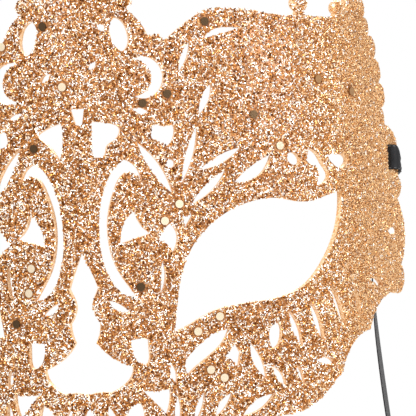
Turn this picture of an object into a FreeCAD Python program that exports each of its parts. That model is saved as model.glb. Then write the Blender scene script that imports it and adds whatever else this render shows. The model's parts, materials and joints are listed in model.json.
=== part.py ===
"""A pierced half mask for a masquerade, with a satin ribbon at each temple. Millimetres, +Z up, front facing -Y.

The shell is drawn flat and then wrapped: every outline is given in chart coordinates (s, v), where s is the distance
along the face from the middle, positive to the viewer's right, and v is the height. The chart is wrapped round the face
by a front skin and a back skin that share those coordinates, and walls join the two along each outline.
The origin is on the inner face of the nose bridge.
"""
import FreeCAD, Part
import math
import os

from FreeCAD import Vector

Vector2d = FreeCAD.Base.Vector2d

# ---- driving dimensions ----
SPREAD_W = 264.8                   # along the face, from one temple's edge to the other's
SHELL_H = 165.5                    # from the lowest scallop to the tip of the crest
DRAWN_W, DRAWN_H = 264.8, 165.5    # the same two sizes as the chart below is drawn
ACROSS, UP = SPREAD_W / DRAWN_W, SHELL_H / DRAWN_H
SHELL_T = 2.0                      # wall of the moulded shell
# The plan curve from the middle to the temple: arcs that touch, each given by where it ends and its heading there.
PLAN_ARCS = [(5, 17.5), (24, 20), (48, 17), (70, 30), (90, 48), (108, 59), (130, 63)]
LEAN_ABOVE = 0.08                  # how fast the brow and crest lean back, mm per square centimetre of height
LEAN_BELOW = 0.02
NOSE_RISE = 2.0                    # how far the nose stands out below the bridge
NOSE_REACH = 14.0                  # half breadth of that rise
NOSE_START = -20.0                 # height at which half of it is reached
NOSE_BLEND = 8.0
CHART_S = 138                      # the skins reach this far to each side
CHART_V = (-84, 92)                # and from this height to this one
GRID_S = 2.0                       # spacing of the skins' control points
GRID_V = 8.0

BEAD_R = 3.0                       # ball on a stalk on the brow
TEMPLE_BEAD_R = 2.4                # the next one, on the temple
SMALL_BEAD_R = 2.1
FINIAL_R = 2.6

SEQUIN_R = 1.3
SEQUIN_T = 0.3
SEQUIN_GAP = 0.15                  # from the curved shell to the middle of a flat sequin

RIBBON_W = 10.0
RIBBON_T = 0.5
BAR_S = 126.8                      # middle line of the rim bar that the ribbon goes round
BAR_V = 9.2                        # height of its middle
BAR_W = 3.2
LOOP_CLEARANCE = 0.5               # between the bar's corners and the inside of the loop
LOOP_INNER_R = math.hypot(BAR_W, SHELL_T) / 2 + LOOP_CLEARANCE
SLOT_SPARE = 2.7                   # slot left free beside the ribbon
SLOT_ROOM = 2.7                    # slot left free over and under the ribbon
SLOT_W = LOOP_INNER_R + RIBBON_T - BAR_W / 2 + SLOT_SPARE
SLOT_H = RIBBON_W + 2 * SLOT_ROOM
ELASTIC_HOLE_R = 1.5
ELASTIC_HOLE_S = 122.6
ELASTIC_HOLE_V = -20.2
CUT_DEPTH = 6 * SHELL_T            # long enough to pass right through the curved wall

KNOT_R = 2.2
KNOT_L = 3.6                       # across, on the line that the tail swings about
KNOT_ROUND = KNOT_R * 0.3          # fillet at the knot's two ends
LOOP_REACH = LOOP_INNER_R + 4.3    # from the bar's middle to where the two inner faces of the loop meet
KNOT_AT = LOOP_REACH + 1.0         # from the bar's middle to the knot's middle, level
KNOT_DROP = 3.5                    # how far the knot hangs under the bar's middle
LOOP_TURN = 16                     # degrees that the loop turns back from the wall's own heading
TAIL_GAP = 0.4                     # between the knot and the tail
TAIL_EXIT = 65                     # degrees from straight down at which the tail leaves the knot
TAIL_PINCH = 2.0                   # width of the tail where the knot gathers it
TAIL_NECK = RIBBON_W / 2           # depth under the knot down to which it stays so, past the loop's lower edge
TAIL_FLARE = TAIL_NECK + 10.0      # and at which it is full width

# Where the shell is parted into its named zones
NOSE_X = 30.6 * ACROSS
TEMPLE_X = 82.8 * ACROSS
CREST_Z = 31.5 * UP
EYE_Z = -24.0 * UP
FAR = 400.0
RIM_S = BAR_S + BAR_W / 2 / ACROSS  # outer edge of the rim bar


# ---- the chart and its two skins ----
def plan_point(s):
    """Front skin in plan at distance s from the middle: x, y and the heading in radians."""
    x = y = at = heading = 0.0
    reach = abs(s)
    for end, degrees in PLAN_ARCS + [(FAR, PLAN_ARCS[-1][1])]:
        length = min(reach, end) - at
        turn = (math.radians(degrees) - heading) * length / (end - at)
        if abs(turn) > 1e-9:
            radius = length / turn
            x += radius * (math.sin(heading + turn) - math.sin(heading))
            y += radius * (math.cos(heading) - math.cos(heading + turn))
        else:
            x += length * math.cos(heading)
            y += length * math.sin(heading)
        heading += turn
        at = min(reach, end)
        if at >= reach:
            break
    return math.copysign(x, s), y, heading


def place(s, v, depth=0.0):
    """The point of the wrapped shell at chart place (s, v), so far in from the front skin."""
    x, y, heading = plan_point(s)
    side = math.copysign(1.0, s)
    z = v * UP
    lean = (LEAN_ABOVE if z > 0 else LEAN_BELOW) * z * z / 100
    nose = NOSE_RISE * math.exp(-((s / NOSE_REACH) ** 2)) / (1 + math.exp((v - NOSE_START) / NOSE_BLEND))
    x = x * ACROSS - side * depth * math.sin(heading)
    y = y * ACROSS + depth * math.cos(heading)
    return Vector(x, y + lean - nose - SHELL_T, z)


def outward(s):
    """Unit vector out of the front skin, level."""
    heading = plan_point(s)[2]
    return Vector(math.copysign(math.sin(heading), s), -math.cos(heading), 0)


def even(low, high, step):
    count = max(2, round((high - low) / step))
    return [low + (high - low) * i / count for i in range(count + 1)]


def averages(knots):
    """Where the control points of a clamped cubic spline stand for its parameter to read as the chart's."""
    full = [knots[0]] * 3 + knots + [knots[-1]] * 3
    return [sum(full[i + 1:i + 4]) / 3 for i in range(len(knots) + 2)]


def skin(depth):
    along = even(-CHART_S, CHART_S, GRID_S)
    up = even(CHART_V[0], CHART_V[1], GRID_V)
    poles = [[place(s, v, depth) for v in averages(up)] for s in averages(along)]
    surface = Part.BSplineSurface()
    ends = [[4] + [1] * (len(knots) - 2) + [4] for knots in (along, up)]
    surface.buildFromPolesMultsKnots(poles, ends[0], ends[1], along, up, False, False, 3, 3)
    return surface


FRONT = skin(0.0)
BACK = skin(SHELL_T)


# ---- the rim bar at the right temple, and the knot beyond it ----
def level(degrees):
    return Vector(math.cos(math.radians(degrees)), math.sin(math.radians(degrees)), 0)


BAR = place(BAR_S, BAR_V, SHELL_T / 2)
WALL_DEGREES = math.degrees(plan_point(BAR_S)[2])
LOOP_DEGREES = WALL_DEGREES + LOOP_TURN
KNOT = BAR + level(LOOP_DEGREES) * KNOT_AT - Vector(0, 0, KNOT_DROP)


# ---- outlines in the chart: each is a list of 2D curves that close ----
def curve(points):
    """One smooth run through its points, or a straight line through two."""
    points = [Vector2d(*p) for p in points]
    if len(points) == 2:
        return Part.Geom2d.Line2dSegment(points[0], points[1])
    run = Part.Geom2d.BSplineCurve2d()
    run.interpolate(Points=points)
    return run


def blob(points):
    """A closed smooth outline."""
    run = Part.Geom2d.BSplineCurve2d()
    run.interpolate(Points=[Vector2d(*p) for p in points], PeriodicFlag=True)
    return [run]


def cornered(*runs):
    """A closed outline of smooth runs that meet at corners."""
    return [curve(run) for run in runs]


def straight(*corners):
    """A closed outline with straight sides."""
    return [curve([a, b]) for a, b in zip(corners, corners[1:] + corners[:1])]


def leaf(tip, base, left, right):
    """Two tips joined by two bowed sides. A bow is how far a side's middle stands off the chord, to its own side."""
    ds, dv = base[0] - tip[0], base[1] - tip[1]
    length = math.hypot(ds, dv)
    across = (-dv / length, ds / length)

    def side(start, end, bow):
        sweep = [start]
        for share, part in ((0.25, 0.75), (0.5, 1.0), (0.75, 0.75)):
            sweep.append((start[0] + (end[0] - start[0]) * share + across[0] * bow * part,
                          start[1] + (end[1] - start[1]) * share + across[1] * bow * part))
        return sweep + [end]

    return cornered(side(tip, base, left), side(base, tip, -right))


def hook(tip, middle, base, inner):
    """A crescent: an outer arc through three points and a flatter inner one back through a fourth."""
    outer = Part.Geom2d.ArcOfCircle2d(Vector2d(*tip), Vector2d(*middle), Vector2d(*base))
    back = Part.Geom2d.ArcOfCircle2d(Vector2d(*base), Vector2d(*inner), Vector2d(*tip))
    return [outer, back]


def oval(middle, half_length, half_width, degrees):
    c, s = math.cos(math.radians(degrees)), math.sin(math.radians(degrees))
    ring = []
    for i in range(8):
        a, b = half_length * math.cos(i * math.pi / 4), half_width * math.sin(i * math.pi / 4)
        ring.append((middle[0] + a * c - b * s, middle[1] + a * s + b * c))
    return blob(ring)


def mirrored(outline):
    """The same outline on the other side of the middle line, run the other way."""
    flipped = []
    for run in reversed(outline):
        twin = run.copy()
        twin.mirror(Vector2d(0, 0), Vector2d(0, 1))
        twin.reverse()
        flipped.append(twin)
    return flipped


def wire(outline, surface):
    """The outline laid on a skin."""
    return Part.Wire([run.toShape(surface) for run in outline])


# The outer edge from the tip of the crest to the chin, one side, with a corner between runs
EDGE = [
    [(0, 86), (1.5, 83), (3.2, 81), (5.8, 80)],
    [(5.8, 80), (9.2, 78.2), (10.4, 75.5), (9.8, 73)],
    [(9.8, 73), (13.5, 72), (16.4, 69.2), (17.2, 65.5), (15, 61.8)],
    [(15, 61.8), (18, 60.2), (21, 57.5), (23.2, 54.4)],
    [(23.2, 54.4), (24.2, 52.4), (25.8, 51.8)],
    [(25.8, 51.8), (27.2, 52.8), (28.6, 51.8), (29.6, 50.4)],
    [(29.6, 50.4), (34.6, 54.4), (38.8, 57.4), (44, 59.8), (51, 60.1), (57, 59.6), (64, 58.3), (74.4, 57.7)],
    [(74.4, 57.7), (75.4, 59.8)],
    [(75.4, 59.8), (77.4, 59.8)],
    [(77.4, 59.8), (78.6, 57.4)],
    [(78.6, 57.4), (85, 57), (91.9, 57.3)],
    [(91.9, 57.3), (92.7, 58.7)],
    [(92.7, 58.7), (94.5, 58.7)],
    [(94.5, 58.7), (95.6, 57.4)],
    [(95.6, 57.4), (97.4, 57.9), (99, 60.4)],
    [(99, 60.4), (99.8, 65), (102.8, 66.4), (104.8, 63.6)],
    [(104.8, 63.6), (108.4, 62.6), (109.2, 59.6), (108.2, 57.4)],
    [(108.2, 57.4), (110.8, 56.2), (111.4, 53.6), (110.4, 51.2)],
    [(110.4, 51.2), (114.2, 50.2), (115.9, 47.2), (113.4, 43.6)],
    [(113.4, 43.6), (117.2, 42), (118.6, 38.8), (116, 35.2)],
    [(116, 35.2), (119.8, 33.6), (120.8, 30), (117.6, 26.8)],
    [(117.6, 26.8), (119.4, 25.2), (119.8, 22.8), (119.8, 20.9)],
    [(119.8, 20.9), (124, 19.6), (RIM_S, 15.2)],
    [(RIM_S, 15.2), (RIM_S, 2.6)],
    [(RIM_S, 2.6), (130.4, 0.6), (130, -2), (127, -4.4)],
    [(127, -4.4), (129.4, -8), (131.4, -13), (131.6, -20), (127.6, -27.6)],
    [(127.6, -27.6), (129.8, -31.5), (127.6, -36), (122.5, -36.5)],
    [(122.5, -36.5), (115, -37), (108.5, -40.6), (103.5, -47.5)],
    [(103.5, -47.5), (97.5, -48.6), (91.5, -53), (88, -59.8)],
    [(88, -59.8), (83.5, -62.8), (78, -67.3), (73, -69.8), (68, -71.2), (62, -71.4), (55, -74)],
    [(55, -74), (46.5, -74), (38.5, -78)],
    [(38.5, -78), (29, -76.2), (19, -79.5)],
    [(19, -79.5), (10, -76.4), (0, -77.5)],
]

# Openings that both sides have, one side given
PAIRED_HOLES = {
    "eye": cornered(
        [(28.6, -41.8), (29.8, -33), (31.8, -23.5), (36, -14.7), (42.4, -8.1), (50.2, -3.6), (59, -1.3),
         (66, -1.4), (75, -3), (82, -1.9), (91, 0.2)],
        [(91, 0.2), (90.6, -6), (87.8, -14.2), (81.8, -22.8), (73.8, -29.9), (63.4, -33.3), (50, -34.5),
         (41, -36.3), (34, -39.7), (28.6, -41.8)]),
    "crest_oval": oval((15, 52.9), 5.4, 2.9, -76),
    "crest_scroll": hook((18.9, 44.9), (28.9, 38.8), (19, 33.2), (24.8, 39)),
    "crest_side_leaf": leaf((5.4, 76.6), (8.4, 66.5), 1.5, 1.1),
    "crest_shoulder_leaf": leaf((13.4, 69.4), (12.4, 63.2), 1.0, 1.0),
    "forehead_dart": leaf((18.2, 29.4), (23.6, 28.2), 0.7, 1.3),
    "forehead_heart": blob([(23.9, 21.4), (25.8, 24.1), (28.3, 23.4), (31.1, 23.7), (31.5, 20.3), (28.8, 17.2),
                            (26.2, 18.8)]),
    "forehead_dot": oval((29.8, 11.4), 1.5, 1.4, 0),
    "brow_slit_inner": leaf((19.2, 18.9), (30.3, 1.8), 1.9, 1.6),
    "brow_slit_outer": leaf((39.2, 23.8), (33, 4.4), 1.5, 1.2),
    "brow_slit_upper": leaf((44.3, 36.6), (39.8, 26.3), 1.5, 1.3),
    "brow_leaf_valley": leaf((37.9, 50), (33.9, 40.2), 1.0, 1.3),
    "brow_leaf_top": cornered([(42.6, 50.8), (45.2, 53.3), (50, 54.2), (55, 53.9)],
                              [(55, 53.9), (48.8, 52.2), (42.6, 50.8)]),
    "brow_leaf_upper": leaf((39.2, 9), (53.4, 15.6), 1.2, 1.5),
    "brow_leaf_lower": leaf((36, -1.8), (47.9, 8.6), 1.3, 1.6),
    "brow_leaf_broad": leaf((50.4, 4.6), (63.6, 13), 0.9, 3.2),
    "brow_bean": oval((71.4, 11), 2.7, 1.9, -35),
    "brow_crescent": blob([(78.4, 14), (81.4, 11.8), (83.6, 8.6), (85.8, 5), (84.6, 3.3), (80.2, 2.9),
                           (81, 5.8), (79.4, 8.4), (77, 9.6), (76.6, 12)]),
    "brow_drop": cornered([(84.8, 11.8), (89, 12), (93.2, 11.6)],
                          [(93.2, 11.6), (95.2, 9.6), (91.4, 7.2), (88, 8.4), (84.8, 11.8)]),
    "nose_triangle": cornered([(17.7, -2.9), (14.1, -5.9), (12.9, -9), (12.3, -13)],
                              [(12.3, -13), (16.4, -11.8), (22.6, -10.2)],
                              [(22.6, -10.2), (19.9, -8), (17.7, -2.9)]),
    "nose_diamond": cornered([(28.6, -7.4), (30.9, -10.6), (30.9, -13.3), (29.2, -16.8)],
                             [(29.2, -16.8), (27.3, -13.9), (24.8, -12.4)],
                             [(24.8, -12.4), (26.2, -9.8), (28.6, -7.4)]),
    "nose_chip": straight((32.8, -5.4), (33.6, -9.4), (36.4, -5)),
    "nose_scroll": cornered(
        [(14.8, 13.5), (11.1, 10.3), (8.5, 5.8), (6.7, 0.1), (5.8, -8), (6.4, -16.8), (8.9, -24.2),
         (12.6, -28.6), (16.9, -29.7)],
        [(16.9, -29.7), (13.8, -25.2), (10.8, -19.9), (9.1, -14), (8.7, -7), (9.6, -1.1), (11.3, 3.9),
         (13.4, 7.9), (15.7, 9.6)],
        [(15.7, 9.6), (17.4, 9.1), (20.2, 7)],
        [(20.2, 7), (18, 11.7), (14.8, 13.5)]),
    "nose_slit": leaf((25.6, -18), (24.4, -30.4), 1.5, 0.1),
    "nose_crescent": leaf((7.9, -30.4), (14.6, -34.5), 0.6, 1.6),
    "nose_drop": cornered([(14.2, -43.4), (17.2, -43.1), (20.2, -43.4)],
                          [(20.2, -43.4), (20.1, -47.3), (19, -51.4), (17.3, -51.2), (14.7, -47.7), (14.2, -43.4)]),
    "lip_fan": cornered([(17, -59.6), (21.6, -60.1), (26.2, -59.7)],
                        [(26.2, -59.7), (26, -63.6), (24.6, -68)],
                        [(24.6, -68), (21.6, -64.4), (17, -59.6)]),
    "lip_oval": oval((14.6, -68.2), 4.8, 2.9, 80),
    "lip_leaf": leaf((6.2, -63.6), (8.6, -72.6), 1.2, 1.5),
    "cheek_slit_low": leaf((28.6, -62), (28, -72.6), 1.0, 1.2),
    "cheek_slit_inner": leaf((26.8, -51.6), (28.2, -58.2), 0.9, 1.2),
    "cheek_slit_bottom": leaf((37.3, -61.2), (33.6, -71.5), 1.0, 1.3),
    "cheek_slit_swept": leaf((46.4, -62.6), (40.4, -70.4), 0.9, 1.7),
    "cheek_leaf_bottom": leaf((60.6, -64.2), (49.4, -70.4), 1.6, 1.9),
    "cheek_leaf_broad": cornered([(46.2, -42), (41.4, -43.2), (36.4, -46.4), (31.9, -50.5)],
                                 [(31.9, -50.5), (31.3, -53.2), (32.2, -56)],
                                 [(32.2, -56), (38.2, -51.2), (42.4, -48), (46.2, -42)]),
    "cheek_star": straight((48, -46.7), (46.4, -49.2), (44.6, -50.8), (46.7, -52.2), (48.7, -54.8), (49.7, -50.1)),
    "cheek_leaf_tall": leaf((53.2, -47), (58.2, -59), 1.2, 2.0),
    "cheek_drop": cornered([(60.6, -49.4), (59.6, -45.8), (60.8, -42.2), (63.4, -41.8), (64.2, -44.2), (60.6, -49.4)]),
    "cheek_slit_drop": leaf((60.4, -55.2), (64.8, -62), 1.2, 1.4),
    "cheek_leaf_far": leaf((67, -37.4), (71.6, -50), 1.3, 1.4),
    "cheek_leaf_end": leaf((75.2, -35), (80.2, -49.4), 1.5, 1.5),
    "cheek_slit_far": leaf((68.6, -54.6), (71.8, -62.4), 0.8, 1.0),
    "cheek_leaf_edge": leaf((76.4, -54.8), (84.6, -56.6), 1.5, 0.9),
    "temple_leaf_inner": leaf((84, -30.4), (90.4, -45.8), 1.3, 1.6),
    "temple_leaf_middle": leaf((95.6, -31.4), (98.4, -43.6), 1.2, 1.5),
    "temple_leaf_outer": leaf((104.4, -30.6), (113.6, -33.2), 1.5, 0.9),
    "temple_oval": oval((123.2, -15.4), 4.4, 1.3, 0),
}

# Openings on the middle line or on one side only, for the real lattice isn't quite even
SINGLE_HOLES = {
    "crest_middle": leaf((0, 80), (0, 68), 2.0, 2.0),
    "crest_chip": oval((9.5, 55.2), 1.3, 1.2, 0),
    "crest_star_right": leaf((4.9, 42.1), (7.4, 44.6), 0.9, 1.1),
    "crest_star_left": leaf((-11.6, 38.9), (-7.6, 41.4), 1.1, 1.2),
    "forehead_wedge": straight((-1.7, 30), (2.9, 30), (2, 24.9), (-0.1, 24.9)),
    "forehead_trefoil": blob([(5.6, 25.8), (9.8, 25.2), (14, 23.2), (12.8, 20.2), (9.8, 18), (8.6, 14.9),
                              (6, 14.6), (4.9, 20)]),
    "forehead_triangle": cornered([(-4.7, 25.7), (-9.2, 24.6), (-13.9, 22.2)],
                                  [(-13.9, 22.2), (-9.4, 18.4), (-6, 13.2)],
                                  [(-6, 13.2), (-4.7, 18), (-4.7, 25.7)]),
    "lip_middle": leaf((0, -63.8), (0, -73), 2.0, 2.0),
}

# One side of the opening for the nose, from its apex down
NOSE_EDGE = [
    [(0, -14.9), (1.8, -19), (3.6, -23), (4.9, -26.3)],
    [(4.9, -26.3), (3.3, -29.4), (2.6, -32), (3.4, -34.8), (5, -37.2)],
    [(5, -37.2), (4.7, -40.4), (3.5, -43.3)],
    [(3.5, -43.3), (5.6, -46), (8.8, -48.8), (14.8, -51.8)],
    [(14.8, -51.8), (13.5, -55.6), (10.6, -58), (7.6, -59.4)],
    [(7.6, -59.4), (4, -59), (0, -59.6)],
]


def both_sides(runs):
    """A closed outline from the runs of its right half."""
    right = cornered(*runs)
    return right + mirrored(right)


# ---- the shell ----
def all_holes():
    holes = list(SINGLE_HOLES.values()) + [both_sides(NOSE_EDGE)]
    for outline in PAIRED_HOLES.values():
        holes += [outline, mirrored(outline)]
    return holes


def make_shell():
    """Front and back skins trimmed to the same outlines, with walls between them."""
    faces = []
    wires = [[wire(outline, surface) for outline in [both_sides(EDGE)] + all_holes()] for surface in (FRONT, BACK)]
    for surface, (rim, *holes) in zip((FRONT, BACK), wires):
        face = Part.Face(surface, rim)
        face.cutHoles(holes)
        face.validate()
        faces.append(face)
    for front_wire, back_wire in zip(*wires):
        for front_edge, back_edge in zip(front_wire.Edges, back_wire.Edges):
            faces += Part.makeRuledSurface(front_edge, back_edge).Faces
    shell = Part.Shell(faces)
    shell.sewShape()
    solid = Part.Solid(shell)
    return solid if solid.Volume > 0 else solid.reversed()


def slot_cutter():
    """The ribbon's slot, with round ends, square through the wall just inside the rim bar."""
    r = SLOT_W / 2
    end = SLOT_H / 2 - r
    cutter = Part.makeBox(SLOT_W, CUT_DEPTH, 2 * end, Vector(-r, -CUT_DEPTH / 2, -end))
    for z in (-end, end):
        cutter = cutter.fuse(Part.makeCylinder(r, CUT_DEPTH, Vector(0, -CUT_DEPTH / 2, z), Vector(0, 1, 0)))
    cutter.rotate(Vector(0, 0, 0), Vector(0, 0, 1), WALL_DEGREES)
    cutter.translate(BAR - level(WALL_DEGREES) * (BAR_W / 2 + r))
    return cutter


def elastic_cutter():
    """A round hole low on the temple, for an elastic cord."""
    way = outward(ELASTIC_HOLE_S)
    start = place(ELASTIC_HOLE_S, ELASTIC_HOLE_V, SHELL_T / 2) - way * (CUT_DEPTH / 2)
    return Part.makeCylinder(ELASTIC_HOLE_R, CUT_DEPTH, start, way)


def ball(s, v, radius):
    return Part.makeSphere(radius, place(s, v, SHELL_T / 2))


def mirror_x(shape):
    return shape.mirror(Vector(0, 0, 0), Vector(1, 0, 0))


def zone(shell, x0, x1, z0, z1):
    return shell.common(Part.makeBox(x1 - x0, 2 * FAR, z1 - z0, Vector(x0, -FAR, z0)))


# ---- sequins: flat discs caught in the glitter coat ----
PALE_SEQUINS = [(-24.5, 51), (-3.7, 37), (66.5, 15.5), (27, -6.5), (32, -1.4), (-17.5, -19.5), (-18.8, -27.3),
                (36, -42.2), (43.4, -37.9), (39.6, -54.7), (43.9, -57.6), (-33, 31), (-62, 41), (-74, 22),
                (-40, -2.5), (-35, -58.5), (-52, -60.2), (-101, 4), (-88, 44)]
DARK_SEQUINS = [(-9.7, 56.4), (29.7, 33.6), (21.6, 30.9), (43, 56.2), (57.9, 25.9), (82.5, 36.6), (98.6, 32.4),
                (18.2, -26.8), (-14.6, 18.2), (-45, 44), (-57, 22), (-24, -37), (-96, -14), (-33, 14)]


def sequins(places):
    discs = []
    for s, v in places:
        disc = Part.makeCylinder(SEQUIN_R, SEQUIN_T, place(s, v) + outward(s) * SEQUIN_GAP, outward(s))
        discs.append(disc)
    return Part.makeCompound(discs)


# ---- the ribbon at the right temple ----
# Route of the hanging tail: how far in from the knot and how far up, in the plane across the mask
TAIL_TOP = ((KNOT_R + TAIL_GAP) * math.sin(math.radians(TAIL_EXIT)),
            -(KNOT_R + TAIL_GAP) * math.cos(math.radians(TAIL_EXIT)))
TAIL_ROUTE = [TAIL_TOP, (5.2, -6.2), (8, -13.5), (10, -26), (10.4, -46), (8, -78), (3.2, -120), (-3.5, -165),
              (-5.5, -212), (-4, -258), (-0.8, -300)]


def teardrop(radius, height):
    """A round end about the bar and two straight sides that meet beyond it, as a solid."""
    reach = LOOP_REACH * radius / LOOP_INNER_R
    angle = math.acos(radius / reach)
    touch = [Vector(radius * math.cos(angle), side * radius * math.sin(angle), 0) for side in (1, -1)]
    apex = Vector(reach, 0, 0)
    edges = [
        Part.LineSegment(apex, touch[0]).toShape(),
        Part.Arc(touch[0], Vector(-radius, 0, 0), touch[1]).toShape(),
        Part.LineSegment(touch[1], apex).toShape(),
    ]
    return Part.Face(Part.Wire(edges)).extrude(Vector(0, 0, height))


def make_loop():
    """The ribbon folded round the bar, gathered down towards the knot."""
    band = teardrop(LOOP_INNER_R + RIBBON_T, 4 * RIBBON_W).cut(teardrop(LOOP_INNER_R, 4 * RIBBON_W))
    band.translate(Vector(0, 0, -2 * RIBBON_W))
    wide, start, end = RIBBON_W / 2, LOOP_INNER_R, LOOP_REACH - RIBBON_T  # the sides stop just short of each other
    side = [(-FAR, wide), (start, wide), (end, KNOT_R - KNOT_DROP), (end, -KNOT_R - KNOT_DROP),
            (start, -wide), (-FAR, -wide)]
    taper = Part.Face(Part.makePolygon([Vector(a, -FAR, z) for a, z in side + side[:1]]))
    band = band.common(taper.extrude(Vector(0, 2 * FAR, 0)))
    band.rotate(Vector(0, 0, 0), Vector(0, 0, 1), LOOP_DEGREES)
    band.translate(BAR)
    return band.cut(make_knot())


def make_knot():
    knot = Part.makeCylinder(KNOT_R, KNOT_L, KNOT - Vector(KNOT_L / 2, 0, 0), Vector(1, 0, 0))
    return knot.makeFillet(KNOT_ROUND, [edge for edge in knot.Edges if edge.Curve.TypeId == "Part::GeomCircle"])


def tail_path():
    """Straight runs joined by arcs as large as the runs allow."""
    points = [KNOT + Vector(-a, 0, z) for a, z in TAIL_ROUTE]
    edges, start = [], points[0]
    for before, corner, after in zip(points, points[1:], points[2:]):
        back, on = (before - corner), (after - corner)
        reach = 0.45 * min(back.Length, on.Length)
        turn = math.pi - back.getAngle(on)
        radius = reach / math.tan(turn / 2)
        back.normalize()
        on.normalize()
        first, last = corner + back * reach, corner + on * reach
        middle = back + on
        middle.normalize()
        centre = corner + middle * (radius / math.cos(turn / 2))
        crown = centre - middle * radius
        edges.append(Part.LineSegment(start, first).toShape())
        edges.append(Part.Arc(first, crown, last).toShape())
        start = last
        print(f"tail arc radius {radius:.0f} mm")
    edges.append(Part.LineSegment(start, points[-1]).toShape())
    return Part.Wire(edges)


def make_tail():
    """The flat ribbon along its route, narrow at the knot and full width below the flare."""
    path = tail_path()
    first = path.Edges[0]
    run = first.tangentAt(first.FirstParameter)
    flat = run.cross(Vector(0, 1, 0)).normalize()
    start = first.valueAt(first.FirstParameter)
    half_w, half_t = Vector(0, RIBBON_W / 2, 0), flat * (RIBBON_T / 2)
    corners = [start + half_w + half_t, start - half_w + half_t, start - half_w - half_t, start + half_w - half_t]
    tail = path.makePipeShell([Part.makePolygon(corners + corners[:1])], True, True)
    print(f"tail length {path.Length:.1f} mm, volume over section times length "
          f"{tail.Volume / (path.Length * RIBBON_W * RIBBON_T):.4f}")
    wide, narrow = RIBBON_W / 2, TAIL_PINCH / 2
    side = [(narrow, 0), (narrow, -TAIL_NECK), (wide, -TAIL_FLARE), (wide, -FAR),
            (-wide, -FAR), (-wide, -TAIL_FLARE), (-narrow, -TAIL_NECK), (-narrow, 0)]
    taper = Part.Face(Part.makePolygon([KNOT + Vector(-FAR, y, z) for y, z in side + side[:1]]))
    return tail.common(taper.extrude(Vector(2 * FAR, 0, 0)))


# ---- all nodes ----
def make_nodes():
    shell = make_shell()
    for cutter in (slot_cutter(), elastic_cutter()):
        shell = shell.cut(cutter).cut(mirror_x(cutter))
    print(f"shell valid {shell.isValid()}, volume {shell.Volume:.0f} cubic mm")
    temple_ball = ball(93.6, 60.2, TEMPLE_BEAD_R)
    right_zones = {
        "brow": zone(shell, NOSE_X, TEMPLE_X, EYE_Z, FAR).fuse(ball(76.4, 61.6, BEAD_R)).cut(temple_ball),
        "cheek": zone(shell, NOSE_X, TEMPLE_X, -FAR, EYE_Z),
        "temple": zone(shell, TEMPLE_X, FAR, -FAR, FAR).fuse(temple_ball),
    }
    crest = zone(shell, -NOSE_X, NOSE_X, CREST_Z, FAR).fuse(ball(0, 87, FINIAL_R))
    for side in (1, -1):
        crest = crest.fuse(ball(side * 17.2, 63.2, SMALL_BEAD_R))
    nodes = {"crest": crest, "nose_bridge": zone(shell, -NOSE_X, NOSE_X, -FAR, CREST_Z)}
    right_parts = {"ribbon_loop": make_loop(), "ribbon_knot": make_knot(), "ribbon_tail": make_tail()}
    for name, shape in {**right_zones, **right_parts}.items():
        nodes[name + "_right"] = shape
        nodes[name + "_left"] = mirror_x(shape)
    nodes["sequins_pale"] = sequins(PALE_SEQUINS)
    nodes["sequins_dark"] = sequins(DARK_SEQUINS)
    return nodes


def main():
    os.makedirs("parts", exist_ok=True)
    for name, shape in make_nodes().items():
        box = shape.BoundBox
        print(f"{name:20} solids {len(shape.Solids)} valid {shape.isValid()} volume {shape.Volume:9.1f} "
              f"x {box.XMin:.1f}..{box.XMax:.1f} y {box.YMin:.1f}..{box.YMax:.1f} z {box.ZMin:.1f}..{box.ZMax:.1f}")
        shape.exportStep(f"parts/{name}.step")
    hole = place(ELASTIC_HOLE_S, ELASTIC_HOLE_V)
    way = outward(ELASTIC_HOLE_S)
    print(f"bar middle {BAR.x:.3f} {BAR.y:.3f} {BAR.z:.3f}, knot {KNOT.x:.3f} {KNOT.y:.3f} {KNOT.z:.3f}")
    print(f"slot {SLOT_W:.2f} by {SLOT_H:.2f}, elastic hole {hole.x:.3f} {hole.y:.3f} {hole.z:.3f} "
          f"out along {way.x:.4f} {way.y:.4f}")


main()
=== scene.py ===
# %% [markdown]
# # A glitter half mask with ribbon ties
#
# This file dresses the construction model of a pierced masquerade mask: the shell, the sequins and two ribbon ties.
# The real mask is one thin moulding under a crust of champagne gold glitter, so the looks come from three things: the
# smooth plastic, thousands of loose grains stuck on its front, and soft black satin at the temples.
# The construction model is loaded first, and every place below is worked out from it.

# %% Load the frame
import json
import math

import bmesh
import bpy
from mathutils import Matrix, Vector


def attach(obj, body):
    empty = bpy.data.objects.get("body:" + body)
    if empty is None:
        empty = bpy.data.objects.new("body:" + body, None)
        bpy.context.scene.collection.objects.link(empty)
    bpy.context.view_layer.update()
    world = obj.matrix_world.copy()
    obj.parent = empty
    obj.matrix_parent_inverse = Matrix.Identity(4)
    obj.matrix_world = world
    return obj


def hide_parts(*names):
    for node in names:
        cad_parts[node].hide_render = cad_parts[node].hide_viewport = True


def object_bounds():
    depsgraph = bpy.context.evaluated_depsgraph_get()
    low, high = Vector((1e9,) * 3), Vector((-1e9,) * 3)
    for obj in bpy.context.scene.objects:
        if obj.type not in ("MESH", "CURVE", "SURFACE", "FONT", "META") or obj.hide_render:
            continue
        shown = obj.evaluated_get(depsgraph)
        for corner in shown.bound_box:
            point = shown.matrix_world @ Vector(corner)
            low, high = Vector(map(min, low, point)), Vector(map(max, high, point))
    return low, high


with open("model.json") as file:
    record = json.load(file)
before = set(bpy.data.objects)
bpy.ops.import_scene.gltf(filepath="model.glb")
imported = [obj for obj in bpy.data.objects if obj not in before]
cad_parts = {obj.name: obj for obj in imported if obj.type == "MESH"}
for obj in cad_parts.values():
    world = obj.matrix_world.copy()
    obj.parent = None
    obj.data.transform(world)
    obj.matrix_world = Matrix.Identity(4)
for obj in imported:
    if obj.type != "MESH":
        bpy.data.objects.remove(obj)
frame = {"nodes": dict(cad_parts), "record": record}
cad_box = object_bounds()
nodes = frame["nodes"]
joints = {joint["name"]: joint for joint in frame["record"]["behaviour"]["joints"]}
SIDES = {"right": 1, "left": -1}
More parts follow.
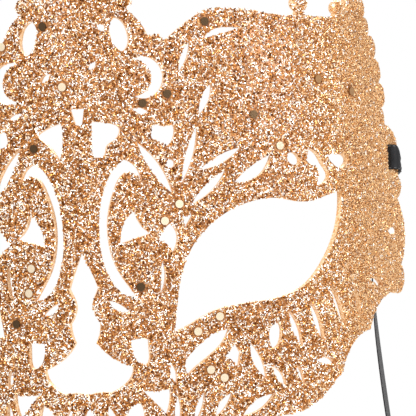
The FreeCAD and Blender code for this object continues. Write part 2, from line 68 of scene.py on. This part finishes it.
print("nodes", len(nodes), "box", [[round(v, 4) for v in corner] for corner in cad_box])

# %% [markdown]
# ## The camera
#
# A close view of a small thing needs a long lens from about half a metre, which keeps the near brow and the far temple
# in proportion. The camera stands a little to the viewer's right of the nose, and is turned slightly on its own axis.

# %% Place the camera
LENS = 158.4                              # mm
CAMERA_PLACE = (0.0775, -0.5695, 0.0131)
AIM_TURN, AIM_DOWN, AIM_ROLL = 3.767, 1.608, -2.829  # degrees


def collect(item):
    """Link an object to the scene and hand it back."""
    bpy.context.scene.collection.objects.link(item)
    return item


def turned(degrees, axis):
    return Matrix.Rotation(math.radians(degrees), 3, axis)


camera = collect(bpy.data.objects.new("camera", bpy.data.cameras.new("camera")))
camera.data.lens = LENS
camera.data.clip_start = 0.01
camera.location = CAMERA_PLACE
camera.rotation_euler = (turned(AIM_TURN, "Z") @ turned(90 - AIM_DOWN, "X") @ turned(AIM_ROLL, "Z")).to_euler()
bpy.context.scene.camera = camera
bpy.context.scene.view_settings.view_transform = "Standard"
print("lens", camera.data.lens, "mm")

# %% [markdown]
# ## The line that each ribbon tail hangs along
#
# A ribbon that hangs free is a limp cord that happens to be flat. Its line comes first: a few listed points, from
# the knot down, become the control points of one smooth NURBS curve. The order of the curve is set after its points,
# because before that it falls back to straight runs. The curve is then read as a mesh, which gives even steps along it.

# %% Follow the hanging line
RIBBON_W = 0.010
# How far in from the knot and how far up each point of the route lies
ROUTE = [(0.00236, -0.0011), (0.0052, -0.0062), (0.008, -0.0135), (0.010, -0.026), (0.0104, -0.046),
         (0.008, -0.078), (0.0032, -0.120), (-0.0035, -0.165), (-0.0055, -0.212), (-0.004, -0.258),
         (-0.0008, -0.300)]


def tail_line(side):
    """Points of the tail's middle line: inward from the knot, and down."""
    knot = Vector(joints["tail_swing_" + side]["pos_m"])
    line = bpy.data.curves.new("tail line", "CURVE")
    line.dimensions = "3D"
    spline = line.splines.new("NURBS")
    spline.points.add(len(ROUTE) - 1)
    for point, (inward, up) in zip(spline.points, ROUTE):
        point.co = (knot.x - SIDES[side] * inward, knot.y, knot.z + up, 1)
    spline.order_u = 3
    spline.use_endpoint_u = True
    spline.resolution_u = 16
    guide = collect(bpy.data.objects.new("tail line", line))
    points = [vertex.co.copy() for vertex in bpy.data.meshes.new_from_object(guide).vertices]
    bpy.data.objects.remove(guide)
    return points


def lengths(points):
    """How far along the line each of its points lies."""
    run = [0.0]
    for a, b in zip(points, points[1:]):
        run.append(run[-1] + (b - a).length)
    return run


lines = {side: tail_line(side) for side in SIDES}
print("tail points", len(lines["right"]), "length", round(lengths(lines["right"])[-1], 4))

# %% [markdown]
# ## The ribbon itself
#
# The tail and the loop of a tie are the same thing, a flat strip bent along a line, so one function makes them. It
# starts from a bmesh grid, and moves each vertex to its place along and across the line. The UV map is written in
# metres, which keeps the weave and the stitched edges at one scale on every strip. Solidify then gives the cloth its
# thickness.

# %% Bend a strip along a line
CLOTH_T = 0.00035


def strip(name, points, across, steps=10):
    """A ribbon along the points. across(distance, share) gives the offset of the cloth from the line."""
    form = bmesh.new()
    run = lengths(points)
    bmesh.ops.create_grid(form, x_segments=len(points) - 1, y_segments=steps, size=0.5, calc_uvs=True)
    uv = form.loops.layers.uv.verify()
    for face in form.faces:
        for loop in face.loops:
            row = round((loop.vert.co.x + 0.5) * (len(points) - 1))
            loop[uv].uv = (run[row], loop.vert.co.y * RIBBON_W)
    for vert in form.verts:
        row = round((vert.co.x + 0.5) * (len(points) - 1))
        vert.co = points[row] + across(run[row], 2 * vert.co.y)
    mesh = bpy.data.meshes.new(name)
    form.to_mesh(mesh)
    form.free()
    for polygon in mesh.polygons:
        polygon.use_smooth = True
    item = collect(bpy.data.objects.new(name, mesh))
    wall = item.modifiers.new("cloth", "SOLIDIFY")
    wall.thickness = CLOTH_T
    wall.offset = 0
    return item


def ease(low, high, value):
    """0 up to low, 1 from high on, and a soft step between them."""
    share = min(1.0, max(0.0, (value - low) / (high - low)))
    return share * share * (3 - 2 * share)


print("strip helper ready")

# %% [markdown]
# ## The two tails
#
# Below the knot the cloth is pinched into two small pleats, and within a finger's breadth it opens to its full width.
# Further down it turns a little one way and then the other, as a limp satin ribbon does.

# %% Hang the tails
PINCH_FROM, PINCH_END = 0.003, 0.016      # distances along the tail
PINCHED = 0.24                            # share of the full width at the knot
PLEAT, PLEAT_FROM = 0.0007, 0.004
SWAY_DEGREES, SWAY_RATE, SWAY_FULL = 9, 24, 0.06


def hang_tail(side):
    points = lines[side]
    out = SIDES[side]

    def across(distance, share):
        open_share = PINCHED + (1 - PINCHED) * ease(PINCH_FROM, PINCH_END, distance)
        pleat = PLEAT * (1 - ease(PLEAT_FROM, PINCH_END, distance)) * math.sin(share * math.pi * 1.5)
        sway = math.sin((distance - PINCH_END) * SWAY_RATE) * ease(PINCH_END, SWAY_FULL, distance)
        turn = math.radians(SWAY_DEGREES) * sway
        half = share * open_share * RIBBON_W / 2
        return Vector((out * (pleat + half * math.sin(turn)), half * math.cos(turn), 0))

    tail = strip("tail_" + side, points, across)
    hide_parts("ribbon_tail_" + side)
    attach(tail, "tail_" + side)
    return tail


ribbons = [hang_tail(side) for side in SIDES]
print("tails", [item.name for item in ribbons])

# %% [markdown]
# ## The loop and the knot
#
# The loop goes through the slot and round the rim bar: in plan it is a round end about the bar and two sides that meet at
# the knot, which hangs a little lower. The pull of the knot makes the cloth slant down from the bar and draws it
# together, so its folds fan out. The knot is a ball of the same cloth, with grooves that run round it aslant.

# %% Fold the loops
LOOP_R = 0.00264                          # round the bar, to the middle of the cloth
LOOP_REACH = 0.0074                       # from the bar's middle to where the two sides meet
SLANT_END = 0.0012                        # the slant is over here, a little past the bar's middle
AT_BAR = (RIBBON_W / 2, -0.0036)          # top and bottom edge from the bar's middle height
AT_SIDE = (0.0008, -0.0048)
KNOT_HALF = 0.0021
CREASE = 0.0003


def loop_line(side):
    """The loop's middle line at the height of the bar, how near the knot each point lies, the way sideways and the drop
    to the knot."""
    bar = Vector(joints["loop_swivel_" + side]["pos_m"])
    knot = Vector(joints["tail_swing_" + side]["pos_m"])
    along = Vector((knot.x - bar.x, knot.y - bar.y, 0)).normalized()
    beside = Vector((-along.y, along.x, 0)) * SIDES[side]
    touch = math.acos(LOOP_R / LOOP_REACH)
    ends = Vector((LOOP_R * math.cos(touch), LOOP_R * math.sin(touch)))
    plan = [Vector((LOOP_REACH, 0)).lerp(ends, i / 12) for i in range(12)]
    plan += [Vector((LOOP_R * math.cos(a), LOOP_R * math.sin(a)))
             for a in (touch + (math.pi - touch) * i / 16 for i in range(17))]
    plan += [Vector((p.x, -p.y)) for p in reversed(plan[:-1])]
    points = [bar + along * p.x + beside * p.y for p in plan]
    return points, [p.x for p in plan], beside, knot.z - bar.z


def fold_loop(side):
    points, reach, beside, drop = loop_line(side)
    run = lengths(points)
    near = dict(zip(run, reach))

    def across(distance, share):
        slant = ease(-LOOP_R, SLANT_END, near[distance])
        gather = ease(SLANT_END, LOOP_REACH, near[distance])
        at_knot = (drop + KNOT_HALF, drop - KNOT_HALF)
        top, bottom = (first + (second - first) * slant + (last - second) * gather
                       for first, second, last in zip(AT_BAR, AT_SIDE, at_knot))
        crease = CREASE * (0.4 + 0.6 * gather) * slant * math.sin(share * math.pi * 2.5)
        return Vector((0, 0, (top + bottom) / 2 + share * (top - bottom) / 2)) + beside * crease

    loop = strip("loop_" + side, points, across)
    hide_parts("ribbon_loop_" + side)
    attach(loop, "loop_" + side)
    return loop


KNOT_RADII = (0.0018, 0.0021, 0.0023)
KNOT_CLOTH = (0.014, 0.0075)              # what the knot's whole UV map measures in cloth
GROOVE = 0.09                             # share of the radius


def tie_knot(side):
    knot = Vector(joints["tail_swing_" + side]["pos_m"])
    form = bmesh.new()
    bmesh.ops.create_uvsphere(form, u_segments=40, v_segments=24, radius=1, calc_uvs=True)
    uv = form.loops.layers.uv.verify()
    for face in form.faces:
        for loop in face.loops:
            loop[uv].uv = (loop[uv].uv.x * KNOT_CLOTH[0], loop[uv].uv.y * KNOT_CLOTH[1])
    for vert in form.verts:
        x, y, z = vert.co
        wrap = 1 - GROOVE * abs(math.sin(3.2 * z + 1.1 * math.sin(math.atan2(y, x)))) ** 4
        vert.co = knot + Vector((x * KNOT_RADII[0], y * KNOT_RADII[1], z * KNOT_RADII[2])) * wrap
    mesh = bpy.data.meshes.new("knot_" + side)
    form.to_mesh(mesh)
    form.free()
    for polygon in mesh.polygons:
        polygon.use_smooth = True
    item = collect(bpy.data.objects.new("knot_" + side, mesh))
    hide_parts("ribbon_knot_" + side)
    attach(item, "loop_" + side)
    return item


for side in SIDES:
    ribbons += [fold_loop(side), tie_knot(side)]
print("ribbon pieces", [item.name for item in ribbons])

# %% [markdown]
# ## Floor and light
#
# Glitter only sparkles if something bright and small enough stands in a dimmer surround, so the room is soft and two
# lamps of modest size in front do the sparkling, together with the painted glints on the chips. A third, behind, lights
# the cut edges. The camera, and mirror-like faces, see the room as white.

# %% Build the room
AIMED_AT = Vector((0, 0.03, 0))


def white_room(strength):
    """A world that lights the object at one strength and shows as white."""
    world = bpy.data.worlds.new("room")
    bpy.context.scene.world = world
    world.use_nodes = True
    tree = world.node_tree
    tree.nodes.clear()
    output = tree.nodes.new("ShaderNodeOutputWorld")
    mix = tree.nodes.new("ShaderNodeMixShader")
    light = tree.nodes.new("ShaderNodeBackground")
    shown = tree.nodes.new("ShaderNodeBackground")
    path = tree.nodes.new("ShaderNodeLightPath")
    either, any_of = tree.nodes.new("ShaderNodeMath"), tree.nodes.new("ShaderNodeMath")
    either.operation = any_of.operation = "MAXIMUM"
    light.inputs["Color"].default_value = (1.0, 0.99, 0.97, 1)
    light.inputs["Strength"].default_value = strength
    shown.inputs["Color"].default_value = (1, 1, 1, 1)
    tree.links.new(path.outputs["Is Camera Ray"], either.inputs[0])
    tree.links.new(path.outputs["Is Transmission Ray"], either.inputs[1])
    tree.links.new(either.outputs[0], any_of.inputs[0])
    tree.links.new(path.outputs["Is Glossy Ray"], any_of.inputs[1])
    tree.links.new(any_of.outputs[0], mix.inputs["Fac"])
    tree.links.new(light.outputs[0], mix.inputs[1])
    tree.links.new(shown.outputs[0], mix.inputs[2])
    tree.links.new(mix.outputs[0], output.inputs["Surface"])


def lamp(name, place, size, power):
    """A soft square lamp that faces the mask."""
    data = bpy.data.lights.new(name, "AREA")
    data.size = size
    data.energy = power
    item = collect(bpy.data.objects.new(name, data))
    item.location = place
    item.rotation_euler = (AIMED_AT - Vector(place)).to_track_quat("-Z", "Y").to_euler()


white_room(0.75)
lamp("key", (-0.35, -0.75, 0.55), 0.30, 7)
lamp("fill", (0.75, -0.55, 0.25), 0.30, 5)
lamp("back", (0.1, 0.8, 0.6), 0.5, 6)

# %% [markdown]
# ## The floor
#
# The mask is worn or hung, so the floor is only a plain pale disc just under the ends of the ribbons. It is ordinary matt
# paint and so keeps the soft shadows. It comes from a bmesh circle.

# %% Lay the floor
FLOOR_R = 0.9
FLOOR_GAP = 0.0005                        # under the lowest point of the ribbons


def floor(height):
    form = bmesh.new()
    bmesh.ops.create_circle(form, cap_ends=True, segments=96, radius=FLOOR_R)
    bmesh.ops.translate(form, verts=form.verts, vec=(0, 0, height))
    mesh = bpy.data.meshes.new("floor")
    form.to_mesh(mesh)
    form.free()
    item = collect(bpy.data.objects.new("floor", mesh))
    paint = bpy.data.materials.new("floor paint")
    paint.use_nodes = True
    shader = paint.node_tree.nodes["Principled BSDF"]
    shader.inputs["Base Color"].default_value = (0.88, 0.88, 0.87, 1)
    shader.inputs["Roughness"].default_value = 0.9
    mesh.materials.append(paint)


floor(cad_box[0][2] - FLOOR_GAP)
print("floor at", round(cad_box[0][2], 4))

# %% [markdown]
# ## Materials from nodes
#
# Every finish here is a node tree on Object coordinates, a UV map or an attribute of the piece, so nothing slides when
# the camera moves. The helpers below keep each tree short: one starts a material, and the others add a noise, a colour
# ramp, a bump or one step of arithmetic.

# %% Start a material
def start(name, **sockets):
    """A material with one Principled shader, with the named sockets set."""
    material = bpy.data.materials.new(name)
    material.use_nodes = True
    shader = material.node_tree.nodes["Principled BSDF"]
    for socket, value in sockets.items():
        shader.inputs[socket.replace("_", " ")].default_value = value
    return material, material.node_tree, shader


def noise(tree, scale, detail=3.0):
    """A noise on Object coordinates, in cycles per metre."""
    place = tree.nodes.new("ShaderNodeTexCoord")
    texture = tree.nodes.new("ShaderNodeTexNoise")
    texture.inputs["Scale"].default_value = scale
    texture.inputs["Detail"].default_value = detail
    tree.links.new(place.outputs["Object"], texture.inputs["Vector"])
    return texture.outputs["Fac"]


def ramp(tree, value, stops):
    """A colour for each place on the ramp."""
    node = tree.nodes.new("ShaderNodeValToRGB")
    while len(node.color_ramp.elements) < len(stops):
        node.color_ramp.elements.new(1.0)
    for element, (at, colour) in zip(node.color_ramp.elements, stops):
        element.position = at
        element.color = (*colour, 1)
    tree.links.new(value, node.inputs["Fac"])
    return node.outputs["Color"]


def grey(*levels):
    """Stops of a grey ramp, for roughness and height."""
    return [(at, (level, level, level)) for at, level in levels]


def bump(tree, shader, height, depth, strength=1.0):
    node = tree.nodes.new("ShaderNodeBump")
    node.inputs["Distance"].default_value = depth
    node.inputs["Strength"].default_value = strength
    tree.links.new(height, node.inputs["Height"])
    tree.links.new(node.outputs["Normal"], shader.inputs["Normal"])


def calculate(tree, operation, first, second=None):
    """One Math node on a socket and a number or a socket."""
    node = tree.nodes.new("ShaderNodeMath")
    node.operation = operation
    for socket, value in zip(node.inputs, (first, second)):
        if isinstance(value, (int, float)):
            socket.default_value = value
        elif value is not None:
            tree.links.new(value, socket)
    return node.outputs[0]


print("material helpers ready")

# %% [markdown]
# ## The plastic under the glitter
#
# The back and the cut edges of the moulding stay smooth, with gold paint that has a faint grain and some overspray. On
# the front the paint is dark brown, which shows between the grains as the dark of the crevices: painted shade. One
# material does both: it compares the surface's direction with the way out of a wearer's head.

# %% Moulded plastic
# DEEP and BROWN serve as painted crevice shade, WHITE as painted glints; AMBER to CHAMPAGNE also tint the paint.
DEEP = (0.11, 0.030, 0.004)
BROWN = (0.30, 0.105, 0.016)
AMBER = (0.56, 0.25, 0.068)
GOLD = (0.74, 0.45, 0.215)
CHAMPAGNE = (0.88, 0.67, 0.44)
WHITE = (1.0, 0.97, 0.92)
HEAD_BACK = -0.09


def outwardness(tree):
    """How far the surface looks away from the wearer's head, from -1 to 1."""
    place = tree.nodes.new("ShaderNodeTexCoord")
    level, unit, dot = (tree.nodes.new("ShaderNodeVectorMath") for _ in range(3))
    level.operation, unit.operation, dot.operation = "MULTIPLY_ADD", "NORMALIZE", "DOT_PRODUCT"
    level.inputs[1].default_value = (1, 1, 0)
    level.inputs[2].default_value = (0, HEAD_BACK, 0)
    tree.links.new(place.outputs["Object"], level.inputs[0])
    tree.links.new(level.outputs[0], unit.inputs[0])
    tree.links.new(unit.outputs[0], dot.inputs[0])
    tree.links.new(place.outputs["Normal"], dot.inputs[1])
    return dot.outputs["Value"]


def blend_colours(tree, share, first, second):
    mix = tree.nodes.new("ShaderNodeMix")
    mix.data_type = "RGBA"
    tree.links.new(share, mix.inputs["Factor"])
    tree.links.new(first, mix.inputs[6])
    tree.links.new(second, mix.inputs[7])
    return mix.outputs[2]


def plastic_finish():
    material, tree, shader = start("painted plastic", Metallic=0.25, Roughness=0.4)
    specks = noise(tree, 1500, 2)
    smooth = ramp(tree, specks, [(0.30, AMBER), (0.45, GOLD), (0.60, CHAMPAGNE), (0.75, CHAMPAGNE)])
    # The front's base is painted crevice shade: dark brown that shows between the grains.
    crevice_shade = ramp(tree, specks, [(0.35, DEEP), (0.55, BROWN), (0.70, AMBER)])
    front = ramp(tree, outwardness(tree), grey((0.45, 0.0), (0.6, 1.0)))
    tree.links.new(blend_colours(tree, front, smooth, crevice_shade), shader.inputs["Base Color"])
    tree.links.new(ramp(tree, noise(tree, 300), grey((0.3, 0.3), (0.7, 0.55))), shader.inputs["Roughness"])
    bump(tree, shader, specks, 0.0001)
    return material


plastic = plastic_finish()
shell_nodes = [name for name, item in nodes.items() if not name.startswith(("ribbon", "sequins"))]
for name in shell_nodes:
    nodes[name].data.materials.clear()
    nodes[name].data.materials.append(plastic)
print("plastic on", sorted(shell_nodes))

# %% [markdown]
# ## Sequins
#
# A few large round sequins are caught in the coat, some pale and some bronze. They are punched from a shiny metal film
# with faint scratches. Those towards the temples are turned away from the viewer and mirror another part of the room,
# so the film's colour is painted light: one painted reflection on the face and another at the sides.


# %% Sequin film
def sequin_finish(name, face, aside_from, side, aside_to):
    """A film with a painted reflection that changes between two distances from the middle, both given in tenths of a
    metre.
    """
    material, tree, shader = start(name, Metallic=0.85, Roughness=0.3)
    place = tree.nodes.new("ShaderNodeTexCoord")
    parts = tree.nodes.new("ShaderNodeSeparateXYZ")
    tree.links.new(place.outputs["Object"], parts.inputs[0])
    aside = calculate(tree, "MULTIPLY", calculate(tree, "ABSOLUTE", parts.outputs["X"]), 10.0)
    # The film's colour follows the distance from the middle: a painted reflection.
    tone = ramp(tree, aside, [(aside_from, face), (aside_to, side)])
    tree.links.new(tone, shader.inputs["Base Color"])
    bump(tree, shader, noise(tree, 2500, 2), 0.00002)
    return material


for name, *tones in (("sequins_pale", (0.76, 0.63, 0.46), 0.55, (0.36, 0.30, 0.22), 0.62),
                     ("sequins_dark", (0.075, 0.044, 0.021), 0.60, (0.38, 0.21, 0.095), 0.72)):
    nodes[name].data.materials.clear()
    nodes[name].data.materials.append(sequin_finish(name, *tones))
print("sequins", [name for name in nodes if name.startswith("sequins")])

# %% [markdown]
# ## Black satin
#
# Satin shines because long threads lie along the ribbon and barely cross. Here the UV map is in metres, so a wave across
# the ribbon makes the threads, a coarser one along it the crossings, and both edges have a row of grey stitches.

# %% Satin from nodes
THREAD, CROSSING = 0.00045, 0.0009        # lengths of the two waves
STITCH_AT, STITCH_HALF = 0.0044, 0.00016  # from the ribbon's middle line, and half a stitch's width
STITCH_STEP = 0.0016


def uv_axes(tree):
    """Distance along the ribbon and across it, from the middle line."""
    place = tree.nodes.new("ShaderNodeTexCoord")
    parts = tree.nodes.new("ShaderNodeSeparateXYZ")
    tree.links.new(place.outputs["UV"], parts.inputs[0])
    return parts.outputs["X"], parts.outputs["Y"]


def wave(tree, value, length):
    """A sine of the given wavelength."""
    return calculate(tree, "SINE", calculate(tree, "MULTIPLY", value, math.tau / length))


def satin_finish():
    material, tree, shader = start("black satin", Roughness=0.48, Sheen_Weight=0.05, Sheen_Roughness=0.35)
    shader.inputs["Specular IOR Level"].default_value = 0.16
    along, over = uv_axes(tree)
    crossing = calculate(tree, "MULTIPLY", wave(tree, along, CROSSING), 0.5)
    weave = calculate(tree, "ADD", wave(tree, over, THREAD), crossing)
    bump(tree, shader, weave, 0.00003, 0.6)
    edge = calculate(tree, "ABSOLUTE", over)
    row = calculate(tree, "COMPARE", edge, STITCH_AT)
    row.node.inputs[2].default_value = STITCH_HALF
    dash = calculate(tree, "GREATER_THAN", wave(tree, along, STITCH_STEP), 0)
    stitch = calculate(tree, "MULTIPLY", row, dash)
    cloth = ramp(tree, noise(tree, 260, 3), [(0.3, (0.006, 0.006, 0.007)), (0.7, (0.016, 0.016, 0.018))])
    yarn = ramp(tree, stitch, [(0.0, (0.02, 0.02, 0.02)), (1.0, (0.10, 0.10, 0.105))])
    tree.links.new(blend_colours(tree, stitch, cloth, yarn), shader.inputs["Base Color"])
    return material


satin = satin_finish()
for item in ribbons:
    item.data.materials.append(satin)
print("satin on", len(ribbons), "pieces")

# %% [markdown]
# ## The glitter grains
#
# Coarse glitter is a heap of tiny bright flakes at every angle, and each flake is one flat colour to the eye. A bump
# map can't give that: the outline stays smooth. So the flakes are real: one small cut chip is scattered over the front
# of each zone by a node group, with its own turn, tilt, size and shade. That shade is painted light: it stands in for
# what the flake reflects, from painted crevice shade to painted white glints, and it is kept on the chip as an
# attribute.
# Towards the temples the chips lie lower and flatter, and their painted shades draw together, with fewer painted
# glints.

# %% Make one chip
CHIP_R, CHIP_TOP_R, CHIP_H = 0.00038, 0.00022, 0.00038
CHIP_LIFT = 0.00010                       # from the surface up to the chip's middle


def chip():
    """A five-sided chip with a smaller flat top, sunk a little in the surface."""
    form = bmesh.new()
    bmesh.ops.create_cone(form, cap_ends=True, segments=5, radius1=CHIP_R, radius2=CHIP_TOP_R, depth=CHIP_H)
    bmesh.ops.translate(form, verts=form.verts, vec=(0, 0, CHIP_LIFT))
    mesh = bpy.data.meshes.new("chip")
    form.to_mesh(mesh)
    form.free()
    return collect(bpy.data.objects.new("chip", mesh))


one_chip = chip()
chip_faces = len(one_chip.data.polygons)
print("chip faces", chip_faces)


# %% Scatter the chips
SPACING = 0.00047
TILT = math.radians(36)                   # the most that a chip leans to each side
CHIP_SCALES = ((0.9, 0.48, 0.7), (1.7, 0.85, 1.7))
CALM_FROM, CALM_TO = 0.058, 0.096         # distances from the middle plane
CALM_LEAN, CALM_HEIGHT, CALM_TONE = 0.6, 0.5, 0.8  # how much of each the calm takes away
# These move the chips' painted shade darker at the temples and pick the chips given a painted white glint.
CALM_SHADE = 0.07
GLINT_ABOVE, CALM_GLINT = 0.9, 0.04
SEQUIN_ROOM = 0.0006
BEAD_Z = 0.0590                           # above this, chips go round the edges and the balls on stalks too
FACING, BEAD_FACING = 0.3, 0.55           # how squarely a face looks outward, and how much less up there


def add(tree, kind, **settings):
    node = tree.nodes.new(kind)
    for key, value in settings.items():
        setattr(node, key, value)
    return node


def lowered(tree, value, share, by):
    """The value less a share of so much."""
    return calculate(tree, "SUBTRACT", value, calculate(tree, "MULTIPLY", share, by))


def random(tree, low, high, seed):
    """A random number or vector for each chip."""
    vector = isinstance(low, tuple)
    node = add(tree, "FunctionNodeRandomValue", data_type="FLOAT_VECTOR" if vector else "FLOAT")
    first = 0 if vector else 2
    node.inputs[first].default_value = low
    node.inputs[first + 1].default_value = high
    node.inputs["Seed"].default_value = seed
    return node.outputs[0 if vector else 1]


def front_faces(tree):
    """True on faces that look away from the wearer's head, and high up on those that look sideways too."""
    link = tree.links.new
    position, normal = add(tree, "GeometryNodeInputPosition"), add(tree, "GeometryNodeInputNormal")
    level = add(tree, "ShaderNodeVectorMath", operation="MULTIPLY_ADD")
    level.inputs[1].default_value = (1, 1, 0)
    level.inputs[2].default_value = (0, HEAD_BACK, 0)
    away = add(tree, "ShaderNodeVectorMath", operation="NORMALIZE")
    facing = add(tree, "ShaderNodeVectorMath", operation="DOT_PRODUCT")
    front = add(tree, "FunctionNodeCompare", operation="GREATER_THAN")
    height = add(tree, "ShaderNodeSeparateXYZ")
    link(position.outputs[0], height.inputs[0])
    beads = calculate(tree, "GREATER_THAN", height.outputs["Z"], BEAD_Z)
    link(lowered(tree, FACING, beads, BEAD_FACING), front.inputs[1])
    link(position.outputs[0], level.inputs[0])
    link(level.outputs[0], away.inputs[0])
    link(away.outputs[0], facing.inputs[0])
    link(normal.outputs[0], facing.inputs[1])
    link(facing.outputs["Value"], front.inputs[0])
    return front.outputs[0]


def off_sequins(tree, points):
    """The points without those on or under a sequin."""
    discs = add(tree, "GeometryNodeJoinGeometry")
    for name in ("sequins_pale", "sequins_dark"):
        model = add(tree, "GeometryNodeObjectInfo")
        model.inputs["Object"].default_value = nodes[name]
        tree.links.new(model.outputs["Geometry"], discs.inputs[0])
    near = add(tree, "GeometryNodeProximity")
    tree.links.new(discs.outputs[0], near.inputs[0])
    close = add(tree, "FunctionNodeCompare", operation="LESS_THAN")
    close.inputs[1].default_value = SEQUIN_ROOM
    tree.links.new(near.outputs["Distance"], close.inputs[0])
    drop = add(tree, "GeometryNodeDeleteGeometry", domain="POINT")
    tree.links.new(points, drop.inputs["Geometry"])
    tree.links.new(close.outputs[0], drop.inputs["Selection"])
    return drop.outputs[0]


def calmness(tree):
    """0 on the face of the mask, and up to 1 at the temples."""
    position = add(tree, "GeometryNodeInputPosition")
    parts = add(tree, "ShaderNodeSeparateXYZ")
    tree.links.new(position.outputs[0], parts.inputs[0])
    share = add(tree, "ShaderNodeMapRange", interpolation_type="SMOOTHSTEP")
    share.inputs["From Min"].default_value = CALM_FROM
    share.inputs["From Max"].default_value = CALM_TO
    tree.links.new(calculate(tree, "ABSOLUTE", parts.outputs["X"]), share.inputs["Value"])
    return share.outputs["Result"]


def scatter_group():
    """Chips on the front of the moulding, kept off the sequins."""
    tree = bpy.data.node_groups.new("glitter coat", "GeometryNodeTree")
    tree.interface.new_socket("Geometry", in_out="INPUT", socket_type="NodeSocketGeometry")
    tree.interface.new_socket("Geometry", in_out="OUTPUT", socket_type="NodeSocketGeometry")
    link = tree.links.new
    entry, leave = add(tree, "NodeGroupInput"), add(tree, "NodeGroupOutput")

    spread = add(tree, "GeometryNodeDistributePointsOnFaces", distribute_method="POISSON")
    spread.inputs["Distance Min"].default_value = SPACING
    spread.inputs["Density Max"].default_value = 1.6 / SPACING ** 2
    spread.inputs["Seed"].default_value = 5
    link(entry.outputs[0], spread.inputs["Mesh"])
    link(front_faces(tree), spread.inputs["Selection"])

    turn = add(tree, "FunctionNodeEulerToRotation")
    tip = add(tree, "FunctionNodeRotateRotation", rotation_space="LOCAL")
    calm = calmness(tree)
    flatter = add(tree, "ShaderNodeCombineXYZ")
    flatter.inputs[2].default_value = 1
    less = lowered(tree, 1.0, calm, CALM_LEAN)
    link(less, flatter.inputs[0])
    link(less, flatter.inputs[1])
    swing = add(tree, "ShaderNodeVectorMath", operation="MULTIPLY")
    link(random(tree, (-TILT, -TILT, 0.0), (TILT, TILT, math.tau), 1), swing.inputs[0])
    link(flatter.outputs[0], swing.inputs[1])
    link(swing.outputs[0], turn.inputs[0])
    link(spread.outputs["Rotation"], tip.inputs[0])
    link(turn.outputs[0], tip.inputs[1])

    size = add(tree, "ShaderNodeVectorMath", operation="MULTIPLY")
    lower = add(tree, "ShaderNodeCombineXYZ")
    lower.inputs[0].default_value = lower.inputs[1].default_value = 1
    link(lowered(tree, 1.0, calm, CALM_HEIGHT), lower.inputs[2])
    link(random(tree, *CHIP_SCALES, 2), size.inputs[0])
    link(lower.outputs[0], size.inputs[1])

    place = add(tree, "GeometryNodeInstanceOnPoints")
    model = add(tree, "GeometryNodeObjectInfo")
    model.inputs["Object"].default_value = one_chip
    link(off_sequins(tree, spread.outputs["Points"]), place.inputs["Points"])
    link(model.outputs["Geometry"], place.inputs["Instance"])
    link(tip.outputs[0], place.inputs["Rotation"])
    link(size.outputs[0], place.inputs["Scale"])

    # The chip's shade is painted light: a spread that stands in for what each flake reflects, narrower at the temples.
    quiet = lowered(tree, 1.0, calm, CALM_TONE)
    centred = calculate(tree, "SUBTRACT", random(tree, 0.0, 1.0, 3), 0.5)
    middle = lowered(tree, 0.5, calm, CALM_SHADE)
    tone = calculate(tree, "ADD", calculate(tree, "MULTIPLY", centred, quiet), middle)
    # A few chips get the top of the ramp, white: painted glints.
    rare = calculate(tree, "ADD", GLINT_ABOVE, calculate(tree, "MULTIPLY", calm, CALM_GLINT))
    glint = calculate(tree, "GREATER_THAN", random(tree, 0.0, 1.0, 4), rare)
    shade = add(tree, "GeometryNodeStoreNamedAttribute", data_type="FLOAT", domain="INSTANCE")
    shade.inputs["Name"].default_value = "shade"
    merge = add(tree, "GeometryNodeRealizeInstances")
    link(place.outputs[0], shade.inputs["Geometry"])
    link(calculate(tree, "MAXIMUM", tone, glint), shade.inputs["Value"])
    link(shade.outputs[0], merge.inputs[0])
    link(merge.outputs[0], leave.inputs[0])
    return tree


def grain_finish():
    """Each chip is painted one shade of gold, from painted crevice shade in brown to a painted white glint."""
    material, tree, shader = start("gold glitter", Metallic=1.0, Roughness=0.34)
    attribute = tree.nodes.new("ShaderNodeAttribute")
    attribute.attribute_name = "shade"
    stops = [(0.0, DEEP), (0.10, BROWN), (0.22, AMBER), (0.40, GOLD), (0.58, CHAMPAGNE), (0.70, WHITE)]
    tree.links.new(ramp(tree, attribute.outputs["Fac"], stops), shader.inputs["Base Color"])
    return material


coat_group = scatter_group()
glitter = grain_finish()
for name in shell_nodes:
    carrier = collect(bpy.data.objects.new("carrier", nodes[name].data.copy()))
    carrier.modifiers.new("coat", "NODES").node_group = coat_group
    bpy.context.view_layer.update()
    made = bpy.data.meshes.new_from_object(carrier.evaluated_get(bpy.context.evaluated_depsgraph_get()))
    made.name = "glitter_" + name
    made.materials.clear()
    made.materials.append(glitter)
    coat = collect(bpy.data.objects.new("glitter_" + name, made))
    bpy.data.objects.remove(carrier)
    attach(coat, "shell")
    print(coat.name, "chips", len(made.polygons) // chip_faces)
bpy.data.objects.remove(one_chip)
